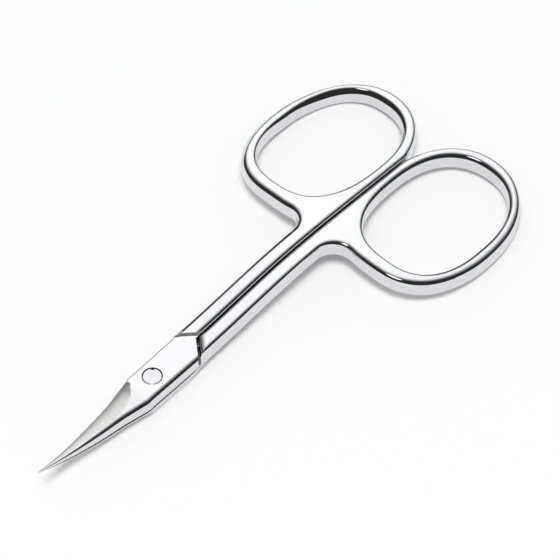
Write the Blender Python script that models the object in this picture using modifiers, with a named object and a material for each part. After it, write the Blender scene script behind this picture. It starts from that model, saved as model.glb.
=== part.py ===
"""Curved nail scissors: two forged halves turning on a countersunk screw.

Metres, +Z up, +X towards the tips. The origin is on the pivot axis, on the surface that the closed
scissors rest on. The upper half has its bow on the -Y side, the lower half on the +Y side.
"""
import math

import bmesh
import bpy
from mathutils import Matrix, Vector

MM = 0.001

# Finger bows: the hole, the band round it, and how square and how far turned each oval is
HOLE_LENGTH = 27.7 * MM
HOLE_WIDTH = 20.0 * MM
HOLE_CENTRE_X = -56.5 * MM
HOLE_SQUARENESS = (2.6, 2.3)
HOLE_TILT = math.radians(0.5)
BAND_NEAR = 2.95 * MM
BAND_FAR = 2.15 * MM
BAND_OUTER = 1.9 * MM
BAND_CLOSING = 1.9 * MM
CLOSING_FLAT = 0.25 * MM
BOW_SQUARENESS = (2.3, 2.12)
BOW_TILT = math.radians(2.4)

# Shanks
HANDLE_THICKNESS = 3.45 * MM
SHANK_WIDTH = 2.88 * MM
PARTING_GAP = 0.2 * MM
EDGE_RADIUS = 0.75 * MM
WEB_FILLET = 4.5 * MM

# Arch of the handles, seen from the side, and their outward slope: they stand on the joint and on the
# outer sides of the bows
ARCH_HEIGHT = 2.5 * MM
ARCH_CREST_X = -33.0 * MM
SHANK_LIFT = 1.05 * MM
FAR_LIFT = 0.8 * MM
FAR_X = -70.0 * MM
BOW_SLOPE = 0.045

# Lap joint
JOINT_HEIGHT = 4.05 * MM
SPLIT_HEIGHT = 1.65 * MM
JOINT_PLAY = 0.05 * MM
JOINT_WIDTH = 5.9 * MM
PLATE_CHAMFER = 0.35 * MM
SPINE_ROUND = 0.5 * MM
APEX_X = -10.1 * MM
REAR_EDGE_ANGLE = math.radians(49.5)
SHOULDER_GAP = 0.6 * MM
SHANK_FRONT_X = -7.0 * MM
STEP_CENTRE = (-1.9 * MM, 6.9 * MM)
STEP_RADIUS = 11.35 * MM
STEP_RUN = 0.45 * MM
RAMP_TOP_X = -9.6 * MM
RAMP_FOOT_X = -6.4 * MM
PLATE_FLAT_REAR_X = -5.0 * MM

# Blades
BLADE_REACH = 25.0 * MM
HEEL_X = 3.3 * MM
HEEL_RUN = 0.6 * MM
TIP_RISE = 2.8 * MM
RISE_POWER = 2.9
HOLLOW_POWER = 1.5
EDGE_INSET = 0.08 * MM

# Share of the blade's length, then the cutting edge and the spine either side of the centre line, the
# thickness at the spine and at the cutting edge as shares of the plate's, and the width of the hollow
BLADE_STATIONS = (
    (0.00, 2.93 * MM, 3.00 * MM, 1.00, 0.55, 1.50 * MM),
    (0.08, 2.45 * MM, 2.70 * MM, 0.97, 0.50, 1.55 * MM),
    (0.23, 1.82 * MM, 2.12 * MM, 0.89, 0.42, 1.50 * MM),
    (0.44, 1.30 * MM, 1.62 * MM, 0.75, 0.32, 1.35 * MM),
    (0.64, 0.80 * MM, 1.10 * MM, 0.55, 0.21, 1.00 * MM),
    (0.85, 0.32 * MM, 0.54 * MM, 0.30, 0.11, 0.42 * MM),
    (1.00, 0.05 * MM, 0.15 * MM, 0.08, 0.05, 0.10 * MM),
)

# Pivot screw and its seats
HEAD_RADIUS = 1.6 * MM
HEAD_RIM = 0.25 * MM
HEAD_BELOW_FACE = 0.03 * MM
SCREW_RADIUS = 1.0 * MM
SEAT_CLEARANCE = 0.08 * MM
BORE_CLEARANCE = 0.05 * MM
THREAD_CLEARANCE = 0.03 * MM
SLOT_WIDTH = 0.57 * MM
SLOT_DEPTH = 0.45 * MM
SLOT_ANGLE = math.radians(42.6)

# Fineness of the round stretches
OVAL_STEPS = 60
FILLET_STEPS = 8
LENGTHWISE_STEP = 3.0 * MM
ROUND_STEPS = 3
TURNED_STEPS = 40

# What joined shapes sink into each other, and how far a cutter reaches past what it cuts
EMBED = 0.02 * MM
OVERCUT = 3.0 * MM

# Points closer than this are one point
WELD = 0.01 * MM

# Worked out from the sizes above
SHANK_INNER = PARTING_GAP / 2
SHANK_OUTER = SHANK_INNER + SHANK_WIDTH
HOLE_CENTRE_Y = SHANK_INNER + BAND_CLOSING + HOLE_WIDTH / 2
BOW_NEAR_X = HOLE_CENTRE_X + HOLE_LENGTH / 2 + BAND_NEAR
BOW_FAR_X = HOLE_CENTRE_X - HOLE_LENGTH / 2 - BAND_FAR
BOW_TOP_Y = HOLE_CENTRE_Y + HOLE_WIDTH / 2 + BAND_OUTER
BOW_LOW_Y = SHANK_INNER - CLOSING_FLAT
UPPER_FACE = SPLIT_HEIGHT + JOINT_PLAY / 2
LOWER_FACE = SPLIT_HEIGHT - JOINT_PLAY / 2
CLEAR_ABOVE = JOINT_HEIGHT + HANDLE_THICKNESS + OVERCUT


def remove_everything():
    for item in list(bpy.data.objects):
        bpy.data.objects.remove(item, do_unlink=True)


def make_collection(name):
    group = bpy.data.collections.new(name)
    bpy.context.scene.collection.children.link(group)
    return group


def make_material(name, colour, roughness):
    material = bpy.data.materials.new(name)
    material.use_nodes = True
    shader = material.node_tree.nodes["Principled BSDF"]
    shader.inputs["Base Color"].default_value = (*colour, 1.0)
    shader.inputs["Metallic"].default_value = 1.0
    shader.inputs["Roughness"].default_value = roughness
    return material


def smooth_step(value):
    value = min(max(value, 0.0), 1.0)
    return value * value * (3 - 2 * value)


def bisect(function, low, high):
    """The place between low and high where a rising function passes zero."""
    for _ in range(60):
        middle = (low + high) / 2
        if function(middle) < 0:
            low = middle
        else:
            high = middle
    return (low + high) / 2


# Plan of the handle, drawn for the lower half; the upper half is its mirror image across Y
def oval_point(left, right, low, high, squareness, tilt, angle):
    """A point on the egg-shaped oval of the given size, at a polar angle from its centre.

    The squareness is given for the end nearest the joint and for the far end.
    """
    centre = Vector(((left + right) / 2, (low + high) / 2))
    turn = angle - tilt
    near, far = squareness
    power = (near + far) / 2 + (near - far) / 2 * math.cos(turn)
    along = abs(math.cos(turn) / ((right - left) / 2)) ** power
    across = abs(math.sin(turn) / ((high - low) / 2)) ** power
    radius = (along + across) ** (-1 / power)
    return centre + radius * Vector((math.cos(angle), math.sin(angle)))


def hole_point(angle):
    left = HOLE_CENTRE_X - HOLE_LENGTH / 2
    low = HOLE_CENTRE_Y - HOLE_WIDTH / 2
    return oval_point(left, left + HOLE_LENGTH, low, low + HOLE_WIDTH, HOLE_SQUARENESS, HOLE_TILT, angle)


def bow_point(angle):
    return oval_point(BOW_FAR_X, BOW_NEAR_X, BOW_LOW_Y, BOW_TOP_Y, BOW_SQUARENESS, BOW_TILT, angle)


def fillet_centre(angle):
    """Centre of a fillet circle that touches the bow's outside at the given angle."""
    small = math.radians(0.1)
    along = bow_point(angle + small) - bow_point(angle - small)
    outward = Vector((along.y, -along.x)).normalized()
    return bow_point(angle) + WEB_FILLET * outward


def handle_outline():
    touch = bisect(lambda angle: fillet_centre(angle).y - SHANK_OUTER - WEB_FILLET,
                   math.radians(-70), math.radians(20))
    leave = 2 * math.pi - bisect(lambda angle: bow_point(-angle).y - SHANK_INNER,
                                 math.radians(95), math.radians(180))
    centre = fillet_centre(touch)
    spoke = bow_point(touch) - centre
    first = math.atan2(spoke.y, spoke.x) % (2 * math.pi)
    last = math.radians(270)
    points = [Vector((SHANK_FRONT_X, SHANK_INNER)), Vector((SHANK_FRONT_X, SHANK_OUTER))]
    for step in range(FILLET_STEPS):
        angle = last + (first - last) * step / FILLET_STEPS
        points.append(centre + WEB_FILLET * Vector((math.cos(angle), math.sin(angle))))
    count = round(OVAL_STEPS * (leave - touch) / (2 * math.pi))
    points += [bow_point(touch + (leave - touch) * step / count) for step in range(count + 1)]
    return points


def underside(x, y=0.0):
    """Height of the handle's underside above the resting surface."""
    if x > ARCH_CREST_X:
        share = smooth_step((SHANK_FRONT_X - x) / (SHANK_FRONT_X - ARCH_CREST_X))
        height = SHANK_LIFT + (ARCH_HEIGHT - SHANK_LIFT) * share
    else:
        share = smooth_step((ARCH_CREST_X - x) / (ARCH_CREST_X - FAR_X))
        height = ARCH_HEIGHT + (FAR_LIFT - ARCH_HEIGHT) * share
    return height - BOW_SLOPE * max(0.0, y - SHANK_OUTER)


# Solids
def mesh_object(name, mesh, group):
    item = bpy.data.objects.new(name, mesh)
    group.objects.link(item)
    return item


def outline_mesh(name, loops, thickness, edge_radius=0.0):
    """A closed mesh of flat loops with the given thickness and rounded edges, its underside at z = 0."""
    curve = bpy.data.curves.new(name, "CURVE")
    curve.dimensions = "2D"
    curve.fill_mode = "BOTH"
    curve.extrude = thickness / 2 - edge_radius
    curve.bevel_depth = edge_radius
    curve.bevel_resolution = ROUND_STEPS - 1
    curve.offset = -edge_radius
    curve.render_resolution_u = 0
    for loop in loops:
        spline = curve.splines.new("POLY")
        spline.points.add(len(loop) - 1)
        for point, place in zip(spline.points, loop):
            point.co = (place.x, place.y, 0.0, 1.0)
        spline.use_cyclic_u = True
    holder = bpy.data.objects.new(name, curve)
    bpy.context.scene.collection.objects.link(holder)
    bpy.context.view_layer.update()
    evaluated = holder.evaluated_get(bpy.context.evaluated_depsgraph_get())
    mesh = bpy.data.meshes.new_from_object(evaluated)
    mesh.transform(holder.matrix_world)
    bpy.data.objects.remove(holder)
    mesh.transform(Matrix.Translation((0, 0, thickness / 2)))
    work = bmesh.new()
    work.from_mesh(mesh)
    bmesh.ops.remove_doubles(work, verts=work.verts, dist=WELD)
    bmesh.ops.recalc_face_normals(work, faces=work.faces)
    work.to_mesh(mesh)
    work.free()
    return mesh


def handle_mesh(name, side):
    """Bow and shank of one half, arched: side is 1 for the lower half, -1 for its mirror image."""
    hole = [hole_point(2 * math.pi * step / OVAL_STEPS) for step in range(OVAL_STEPS)]
    mesh = outline_mesh(name, [handle_outline(), hole], HANDLE_THICKNESS, EDGE_RADIUS)
    work = bmesh.new()
    work.from_mesh(mesh)
    place = BOW_FAR_X + LENGTHWISE_STEP
    while place < SHANK_FRONT_X:
        everything = list(work.verts) + list(work.edges) + list(work.faces)
        bmesh.ops.bisect_plane(work, geom=everything, dist=0.1 * MM, plane_co=(place, 0, 0), plane_no=(1, 0, 0))
        place += LENGTHWISE_STEP
    slices = list(work.verts) + list(work.edges) + list(work.faces)
    bmesh.ops.bisect_plane(work, geom=slices, dist=0.1 * MM, plane_co=(0, SHANK_OUTER, 0), plane_no=(0, 1, 0))
    bmesh.ops.remove_doubles(work, verts=work.verts, dist=WELD)
    for vertex in work.verts:
        vertex.co.z += underside(vertex.co.x, vertex.co.y)
    work.to_mesh(mesh)
    work.free()
    if side < 0:
        mesh.transform(Matrix.Diagonal((1, -1, 1, 1)))
        mesh.flip_normals()
    return mesh


def blade_values(x):
    """Cutting side, spine side, thickness, edge thickness and hollow width of the upper half at x."""
    plate = JOINT_HEIGHT - UPPER_FACE
    if x <= HEEL_X:
        return (JOINT_WIDTH / 2, JOINT_WIDTH / 2, plate, plate - PLATE_CHAMFER, PLATE_CHAMFER)
    share = (x - HEEL_X - HEEL_RUN) / (BLADE_REACH - HEEL_X - HEEL_RUN)
    shares = [row[0] for row in BLADE_STATIONS]
    index = max(i for i, start in enumerate(shares[:-1]) if start <= share + 1e-9)
    rows = [BLADE_STATIONS[min(max(index + step, 0), len(shares) - 1)] for step in (-1, 0, 1, 2)]
    span = rows[2][0] - rows[1][0]
    place = (share - rows[1][0]) / span
    values = []
    for column in range(1, len(rows[0])):
        before, start, end, after = (row[column] for row in rows)
        slope_start = (end - before) / (rows[2][0] - rows[0][0]) * span
        slope_end = (after - start) / (rows[3][0] - rows[1][0]) * span
        values.append((2 * place ** 3 - 3 * place ** 2 + 1) * start
                      + (place ** 3 - 2 * place ** 2 + place) * slope_start
                      + (3 * place ** 2 - 2 * place ** 3) * end
                      + (place ** 3 - place ** 2) * slope_end)
    cut, spine, thick, edge, hollow = values
    return cut, spine, thick * plate, edge * plate, hollow


def rise(x):
    """How far the blades have curved up at x."""
    share = max(0.0, (x - HEEL_X) / (BLADE_REACH - HEEL_X))
    return TIP_RISE * share ** RISE_POWER


def blade_section(x, upper):
    """One cross-section of a plate or blade, as (x, y, z) points in order round it."""
    cut, spine, thick, edge, hollow = blade_values(x)
    face = UPPER_FACE if upper else LOWER_FACE
    if not upper:
        plate = JOINT_HEIGHT - UPPER_FACE
        inset = min(EDGE_INSET, (cut + spine) / 5)
        cut, spine = spine - inset, cut - inset
        thick *= LOWER_FACE / plate
        edge *= LOWER_FACE / plate
    if not upper and x < PLATE_FLAT_REAR_X:
        share = min(1.0, (PLATE_FLAT_REAR_X - x) / (PLATE_FLAT_REAR_X - APEX_X))
        thick -= share * (SHANK_LIFT + EMBED)
        edge = thick - PLATE_CHAMFER
    radius = min(SPINE_ROUND, thick / 3, (cut + spine) / 4)
    profile = [(-cut, 0.0), (spine, 0.0)]
    for step in range(ROUND_STEPS + 1):
        angle = math.pi / 2 * step / ROUND_STEPS
        profile.append((spine - radius * (1 - math.cos(angle)), thick - radius * (1 - math.sin(angle))))
    power = 1.0 if x <= HEEL_X else HOLLOW_POWER
    for step in range(ROUND_STEPS + 1):
        share = 1 - step / (ROUND_STEPS + 1)
        profile.append((-cut + hollow * share, edge + (thick - edge) * share ** power))
    profile.append((-cut, edge))
    way = 1 if upper else -1
    return [(x, way * y, face + rise(x) + way * z) for y, z in profile]


def blade_mesh(name, upper):
    """Plate and blade of one half, lofted from behind the joint to the tip."""
    stations = [APEX_X - OVERCUT, APEX_X, PLATE_FLAT_REAR_X, 0.0, HEEL_X]
    start = HEEL_X + HEEL_RUN
    count = math.ceil((BLADE_REACH - start) / (LENGTHWISE_STEP / 2))
    stations += [start + (BLADE_REACH - start) * step / count for step in range(count + 1)]
    work = bmesh.new()
    rings = [[work.verts.new(point) for point in blade_section(x, upper)] for x in stations]
    for ring, following in zip(rings, rings[1:]):
        for index in range(len(ring)):
            after = (index + 1) % len(ring)
            work.faces.new((ring[index], ring[after], following[after], following[index]))
    work.faces.new(reversed(rings[0]))
    work.faces.new(rings[-1])
    mesh = bpy.data.meshes.new(name)
    work.to_mesh(mesh)
    work.free()
    return mesh


def plan_cutter(name, corners, low, high, group):
    """A vertical prism over a polygon in plan, from height low to height high."""
    mesh = outline_mesh(name, [[Vector(corner) for corner in corners]], high - low)
    mesh.transform(Matrix.Translation((0, 0, low)))
    return mesh_object(name, mesh, group)


def side_cutter(name, corners, low_y, high_y, group):
    """A prism whose corners are (x, z) pairs, between two Y values."""
    mesh = outline_mesh(name, [[Vector(corner) for corner in corners]], high_y - low_y)
    mesh.transform(Matrix.Translation((0, high_y, 0)) @ Matrix.Rotation(math.pi / 2, 4, "X"))
    return mesh_object(name, mesh, group)


def turned_object(name, profile, steps, group):
    """A solid of revolution about Z: profile is (radius, height) from the top centre to the bottom centre."""
    mesh = bpy.data.meshes.new(name)
    points = [(radius, 0.0, height) for radius, height in profile]
    mesh.from_pydata(points, [(i, i + 1) for i in range(len(points) - 1)], [])
    item = mesh_object(name, mesh, group)
    screw = item.modifiers.new("turn", "SCREW")
    screw.steps = steps
    screw.render_steps = steps
    screw.use_merge_vertices = True
    screw.merge_threshold = 0.001 * MM
    screw.use_normal_calculate = False
    return item


def combine(item, other, operation):
    modifier = item.modifiers.new(f"{operation.lower()} {other.name}", "BOOLEAN")
    modifier.operation = operation
    modifier.solver = "EXACT"
    modifier.object = other


def hide_cutters(group):
    for item in group.objects:
        item.hide_render = True
        item.display_type = "WIRE"


def rear_edge_corners(side, setback):
    """Plan polygon behind a plate's slanting rear edge: side is the sign of Y that the edge runs to."""
    along = Vector((math.cos(REAR_EDGE_ANGLE), side * math.sin(REAR_EDGE_ANGLE)))
    behind = Vector((-along.y, along.x)) * side
    corner = Vector((APEX_X, -side * SHANK_INNER)) + behind * setback
    return corner, along


def cut_joint(half, blade, side, cutters):
    """Lap the two halves: side is 1 for the lower half, whose shank lies at +Y, and -1 for the upper."""
    reach = JOINT_WIDTH + OVERCUT
    upper = side < 0
    name = half.name

    # The plate stops at a slanting rear edge, except where it runs into its own shank
    corner, along = rear_edge_corners(-side, 0.0)
    end = corner + along * reach
    hidden = side * (SHANK_INNER + EMBED)
    start = corner + along * ((hidden - corner.y) / along.y)
    back = APEX_X - 2 * OVERCUT
    low, high = (LOWER_FACE, CLEAR_ABOVE) if upper else (-OVERCUT, UPPER_FACE)
    rear = plan_cutter(f"{name}_rear_edge", [start, end, (back, end.y), (back, hidden)], low, high, cutters)
    combine(blade, rear, "DIFFERENCE")

    # The shank stops at a shoulder that faces the other half's rear edge
    corner, along = rear_edge_corners(side, SHOULDER_GAP)
    near = corner - along * OVERCUT
    far = corner + along * reach
    ahead = OVERCUT
    low, high = (-OVERCUT, UPPER_FACE + EMBED) if upper else (LOWER_FACE - EMBED, CLEAR_ABOVE)
    shoulder = plan_cutter(f"{name}_shoulder", [near, far, (ahead, far.y), (ahead, near.y)], low, high, cutters)
    combine(half, shoulder, "DIFFERENCE")

    # The shank's outer face slopes down to the joint beside the shoulder
    outer_face = underside(RAMP_TOP_X) + (0 if upper else HANDLE_THICKNESS)
    slope = (outer_face - SPLIT_HEIGHT) / (RAMP_FOOT_X - RAMP_TOP_X)
    start = RAMP_TOP_X - OVERCUT
    beyond = SPLIT_HEIGHT + slope * (RAMP_FOOT_X - start)
    corners = [(RAMP_FOOT_X, SPLIT_HEIGHT), (start, beyond), (RAMP_FOOT_X, beyond)]
    ramp = side_cutter(f"{name}_ramp", corners, -reach, reach, cutters)
    combine(half, ramp, "DIFFERENCE")


def cut_step(half, cutters):
    """The upper shank steps down to the flat face of its plate along a sloping crescent."""
    foot = JOINT_HEIGHT - EMBED
    climb = underside(APEX_X) + HANDLE_THICKNESS - foot
    mouth = STEP_RADIUS + STEP_RUN * CLEAR_ABOVE / climb
    profile = [(0.0, foot + CLEAR_ABOVE), (mouth, foot + CLEAR_ABOVE), (STEP_RADIUS, foot), (0.0, foot)]
    step = turned_object("upper_half_step", profile, 2 * TURNED_STEPS, cutters)
    step.location = (*STEP_CENTRE, 0)
    combine(half, step, "DIFFERENCE")


def make_half(name, side, material, parts, cutters):
    half = mesh_object(name, handle_mesh(name, side), parts)
    half.data.materials.append(material)
    upper = side < 0
    blade = mesh_object(f"{name}_blade", blade_mesh(f"{name}_blade", upper), cutters)
    blade.data.materials.append(material)
    cut_joint(half, blade, side, cutters)
    if upper:
        cut_step(half, cutters)
    combine(half, blade, "UNION")
    return half


def screw_seat(name, profile_gap, bore_radius, low, high, cutters):
    """Cutter for the screw: a plain bore, with the countersink on top where a gap is given."""
    profile = [(0.0, high), (bore_radius, high), (bore_radius, low), (0.0, low)]
    if profile_gap is not None:
        rim = HEAD_RADIUS + profile_gap
        cone_top = JOINT_HEIGHT - HEAD_BELOW_FACE - HEAD_RIM
        cone_end = cone_top - (rim - bore_radius)
        profile = [(0.0, high), (rim, high), (rim, cone_top), (bore_radius, cone_end), (bore_radius, low), (0.0, low)]
    return turned_object(name, profile, TURNED_STEPS, cutters)


def make_screw(material, parts, cutters):
    top = JOINT_HEIGHT - HEAD_BELOW_FACE
    cone_top = top - HEAD_RIM
    cone_end = cone_top - (HEAD_RADIUS - SCREW_RADIUS)
    profile = [(0.0, top), (HEAD_RADIUS, top), (HEAD_RADIUS, cone_top), (SCREW_RADIUS, cone_end),
               (SCREW_RADIUS, 0.0), (0.0, 0.0)]
    screw = turned_object("pivot_screw", profile, TURNED_STEPS, parts)
    screw.data.materials.append(material)
    reach = HEAD_RADIUS + OVERCUT
    corners = [(-reach, -SLOT_WIDTH / 2), (reach, -SLOT_WIDTH / 2), (reach, SLOT_WIDTH / 2), (-reach, SLOT_WIDTH / 2)]
    slot = plan_cutter("screw_slot", corners, top - SLOT_DEPTH, top + OVERCUT, cutters)
    slot.rotation_euler.z = SLOT_ANGLE
    combine(screw, slot, "DIFFERENCE")
    return screw


def shade(item):
    item.data.shade_smooth()
    item.data.set_sharp_from_angle(angle=math.radians(35))


def main():
    remove_everything()
    parts = make_collection("nail_scissors")
    cutters = make_collection("cutters")
    steel = make_material("polished_steel", (0.80, 0.80, 0.81), 0.08)
    screw_steel = make_material("screw_steel", (0.74, 0.74, 0.75), 0.16)

    upper = make_half("upper_half", -1, steel, parts, cutters)
    lower = make_half("lower_half", 1, steel, parts, cutters)
    seat = screw_seat("upper_seat", SEAT_CLEARANCE, SCREW_RADIUS + BORE_CLEARANCE, 0.0, CLEAR_ABOVE, cutters)
    combine(upper, seat, "DIFFERENCE")
    bore = screw_seat("lower_bore", None, SCREW_RADIUS + THREAD_CLEARANCE, -OVERCUT, JOINT_HEIGHT, cutters)
    combine(lower, bore, "DIFFERENCE")
    screw = make_screw(screw_steel, parts, cutters)
    for item in (upper, lower, screw):
        shade(item)
    hide_cutters(cutters)


main()
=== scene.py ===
"""Looks of the curved nail scissors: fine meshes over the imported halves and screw, steel, studio.

Metres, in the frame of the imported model: +X towards the tips, +Z up, the origin on the pivot axis at the
height of the floor. The upper half has its bow on the -Y side, the lower half on the +Y side.
"""
import math

import bmesh
import bpy
from mathutils import Matrix, Vector
from mathutils.geometry import delaunay_2d_cdt


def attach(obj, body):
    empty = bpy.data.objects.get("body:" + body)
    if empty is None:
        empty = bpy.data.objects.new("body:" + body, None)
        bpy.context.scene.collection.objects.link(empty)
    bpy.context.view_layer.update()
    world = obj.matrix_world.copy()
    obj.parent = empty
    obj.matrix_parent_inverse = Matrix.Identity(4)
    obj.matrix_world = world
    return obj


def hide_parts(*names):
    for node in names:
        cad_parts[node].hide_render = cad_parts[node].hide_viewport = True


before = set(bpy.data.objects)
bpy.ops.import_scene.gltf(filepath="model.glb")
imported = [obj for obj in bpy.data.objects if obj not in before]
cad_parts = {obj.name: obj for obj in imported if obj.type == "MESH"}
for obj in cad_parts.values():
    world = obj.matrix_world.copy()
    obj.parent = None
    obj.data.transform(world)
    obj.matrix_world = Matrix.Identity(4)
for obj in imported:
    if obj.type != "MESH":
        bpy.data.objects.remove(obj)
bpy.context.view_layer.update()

MM = 0.001

# In a table of two sides, -1 is the upper half and 1 is the lower half.

# Finger bows: the hole, the band round it, and how square and how far turned each oval is
HOLE_LENGTH = 27.7 * MM
HOLE_WIDTH = 20.0 * MM
HOLE_CENTRE_X = -56.5 * MM
HOLE_SQUARENESS = (2.6, 2.3)
HOLE_TILT = math.radians(0.5)
BAND_NEAR = 2.95 * MM
BAND_FAR = 2.15 * MM
BAND_OUTER = 1.9 * MM
BAND_CLOSING = 1.9 * MM
CLOSING_FLAT = 0.25 * MM
BOW_SQUARENESS = (2.3, 2.12)
BOW_TILT = math.radians(2.4)

# Shanks, and the fillets between them and the bows
HANDLE_THICKNESS = 3.45 * MM
SHANK_WIDTH = 2.88 * MM
PARTING_GAP = 0.2 * MM
WEB_FILLET = {-1: 3.4 * MM, 1: 3.8 * MM}

# Rounding of the upper edges: along the shanks, outside and inside, round the bows, and in the holes. There
# it grows from the least to the most towards one direction, over an offset and a width in its cosine
SHANK_ROUND = {-1: 0.5 * MM, 1: 0.7 * MM}
INNER_ROUND = {-1: 0.75 * MM, 1: 0.95 * MM}
BOW_ROUND = 1.0 * MM
HOLE_ROUND = {-1: (0.5 * MM, 0.65 * MM), 1: (0.5 * MM, 0.85 * MM)}
HOLE_ROUND_WIDEST = {-1: math.radians(165), 1: math.radians(230)}
HOLE_ROUND_SPREAD = (0.35, 1.2)

# The least flat left on top of a bow's band, and the rounding of the lower edges
BAND_FLAT = 0.06 * MM
BOTTOM_ROUND = 0.55 * MM

# How far the hand-ground bows stand out from their plain ovals, in millimetres, every 45 degrees round them
OUTER_SWELL = {
    -1: (-0.05, 0.60, 0.35, -0.05, 0.15, 0.38, 0.0, 3.0),
    1: (0.05, 0.15, 0.25, 0.38, 0.30, 0.20, 0.0, 2.6),
}
HOLE_SWELL = {
    -1: (0.10, 0.28, -0.10, -0.60, -0.40, 0.0, 0.0, 0.0),
    1: (0.05, 0.15, 0.0, -0.20, -0.10, 0.0, 0.0, 0.0),
}

# The bevel between top and wall at the same places: its length in millimetres and its slope in degrees
OUTER_BEVEL = {
    -1: (0.25, 0.45, 0.20, 0.0, 0.05, 0.15, 0.0, 0.10),
    1: (0.0, 0.0, 0.05, 0.15, 0.10, 0.0, 0.0, 0.0),
}
HOLE_BEVEL = {
    -1: (0.20, 0.10, 0.40, 0.80, 0.60, 0.35, 0.30, 0.35),
    1: (0.20, 0.35, 0.40, 0.45, 0.20, 0.10, 0.10, 0.15),
}
OUTER_SLOPE = {-1: (36, 49, 62, 66, 62, 49, 36, 31), 1: (35, 31, 35, 49, 62, 66, 62, 49)}
HOLE_SLOPE = {-1: (62, 49, 36, 33, 36, 49, 62, 66), 1: (62, 66, 62, 49, 36, 33, 36, 49)}

# The bevel along the outside of the shanks, as a length and a slope in degrees
NO_BEVEL = (0.0, 45)
SHANK_BEVEL = {-1: (0.5 * MM, 63), 1: NO_BEVEL}

# Where round a bow to look for the end of the shank's fillet and for the flat that closes on the other
# half, and from what share of the bow's outline its rounding changes to the inner one
FILLET_RANGE = (math.radians(-70), math.radians(20))
CLOSING_RANGE = (math.radians(95), math.radians(180))
CLOSING_FROM = 0.75

# Arch of the handles, seen from the side, and their outward slope
ARCH_HEIGHT = 2.5 * MM
ARCH_CREST_X = -33.0 * MM
SHANK_LIFT = 1.05 * MM
FAR_LIFT = 0.8 * MM
FAR_X = -70.0 * MM
BOW_SLOPE = 0.045

# Lap joint
JOINT_HEIGHT = 4.05 * MM
SPLIT_HEIGHT = 1.65 * MM
JOINT_PLAY = 0.05 * MM
JOINT_WIDTH = 5.9 * MM
PLATE_CHAMFER = 0.35 * MM
PLATE_EDGE_WIDTH = 0.7 * MM
SPINE_ROUND = 1.15 * MM
PLATE_SHIFT = 0.25 * MM
APEX_X = -10.1 * MM
REAR_EDGE_ANGLE = math.radians(49.5)
SHOULDER_GAP = 0.45 * MM
SHANK_FRONT_X = -7.5 * MM
STEP_CENTRE = (-1.9 * MM, 6.9 * MM)
STEP_RADIUS = 11.35 * MM
STEP_RUN = 0.2 * MM
SHOULDER_ROUND = (1.5 * MM, 1.0 * MM)
RAMP_TOP_X = -9.6 * MM
RAMP_FOOT_X = -6.4 * MM
PLATE_FLAT_REAR_X = -5.0 * MM

# Blades
BLADE_REACH = 25.0 * MM
HEEL_X = 3.3 * MM
HEEL_RUN = 0.6 * MM
HEEL_CURVE = 1.6 * MM
TIP_RISE = 2.8 * MM
RISE_POWER = 2.9
EDGE_INSET = 0.08 * MM
FACE_ROUND = 0.28 * MM

# A rounding is at most the thickness over its first limit and the width over its second. The lower blade's
# inset is at most its width over its limit
SPINE_ROUND_LIMITS = (2.5, 4)
FACE_ROUND_LIMITS = (5, 6)
EDGE_INSET_LIMIT = 5

# Slopes of the ground side of a blade at its ridge and at its edge, and those at the heel, which fade out
GROUND_RIDGE_SLOPE = 0.15
GROUND_EDGE_SLOPE = 0.50
GROUND_HEEL_RIDGE_SLOPE = 0.36
GROUND_HEEL_EDGE_SLOPE = 0.72
GROUND_FADE = 2.2 * MM

# Slant of the wall below the ground side, and the most of the ground width that it takes
EDGE_SLANT = 0.52
EDGE_SLANT_MOST = 0.4

# Places of the first sections behind the heel and of the first even one, as shares of the heel's curve
HEEL_STATIONS = (0.0005, 0.02, 0.06, 0.14, 0.25)
EVEN_FROM = 0.4

# Share of the blade's length, then the cutting edge and the spine either side of the centre line, the
# thickness at the spine and at the cutting edge as shares of the plate's, and the width of the hollow
BLADE_STATIONS = (
    (0.00, 2.70 * MM, 3.25 * MM, 1.00, 0.55, 2.00 * MM),
    (0.08, 2.40 * MM, 2.92 * MM, 0.97, 0.50, 3.00 * MM),
    (0.23, 1.82 * MM, 2.30 * MM, 0.89, 0.42, 3.05 * MM),
    (0.44, 1.30 * MM, 1.75 * MM, 0.75, 0.32, 2.45 * MM),
    (0.64, 0.80 * MM, 1.18 * MM, 0.55, 0.21, 1.60 * MM),
    (0.85, 0.32 * MM, 0.56 * MM, 0.30, 0.11, 0.72 * MM),
    (1.00, 0.05 * MM, 0.15 * MM, 0.08, 0.05, 0.14 * MM),
)

# Pivot screw and its seats
HEAD_RADIUS = 1.6 * MM
HEAD_RIM = 0.25 * MM
HEAD_BELOW_FACE = 0.03 * MM
HEAD_BREAK = 0.13 * MM
SCREW_RADIUS = 1.0 * MM
SEAT_CLEARANCE = 0.12 * MM
BORE_CLEARANCE = 0.05 * MM
THREAD_CLEARANCE = 0.03 * MM
SLOT_WIDTH = 0.57 * MM
SLOT_DEPTH = 0.32 * MM
SLOT_ANGLE = math.radians(42.6)

# Fineness of the meshes
OVAL_STEPS = 288
FILLET_STEPS = 20
STRAIGHT_STEP = 1.0 * MM
GRID_STEP = 0.9 * MM
GRID_CLEARANCE = 0.55
BLADE_STEP = 0.3 * MM
ROUND_STEPS = 7
BEVEL_STEPS = 5
GROUND_STEPS = 8
FACE_STEPS = 3
SHOULDER_STEPS = 12
TURNED_STEPS = 96
HALVINGS = 60

# What joined shapes sink into each other, how far a cutter reaches past what it cuts, and how close points
# are that become one
EMBED = 0.02 * MM
OVERCUT = 3.0 * MM
WELD = 0.004 * MM
TOLERANCE = 1e-9

# An edge sharper than this stays crisp
CREASE = math.radians(32)

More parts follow.
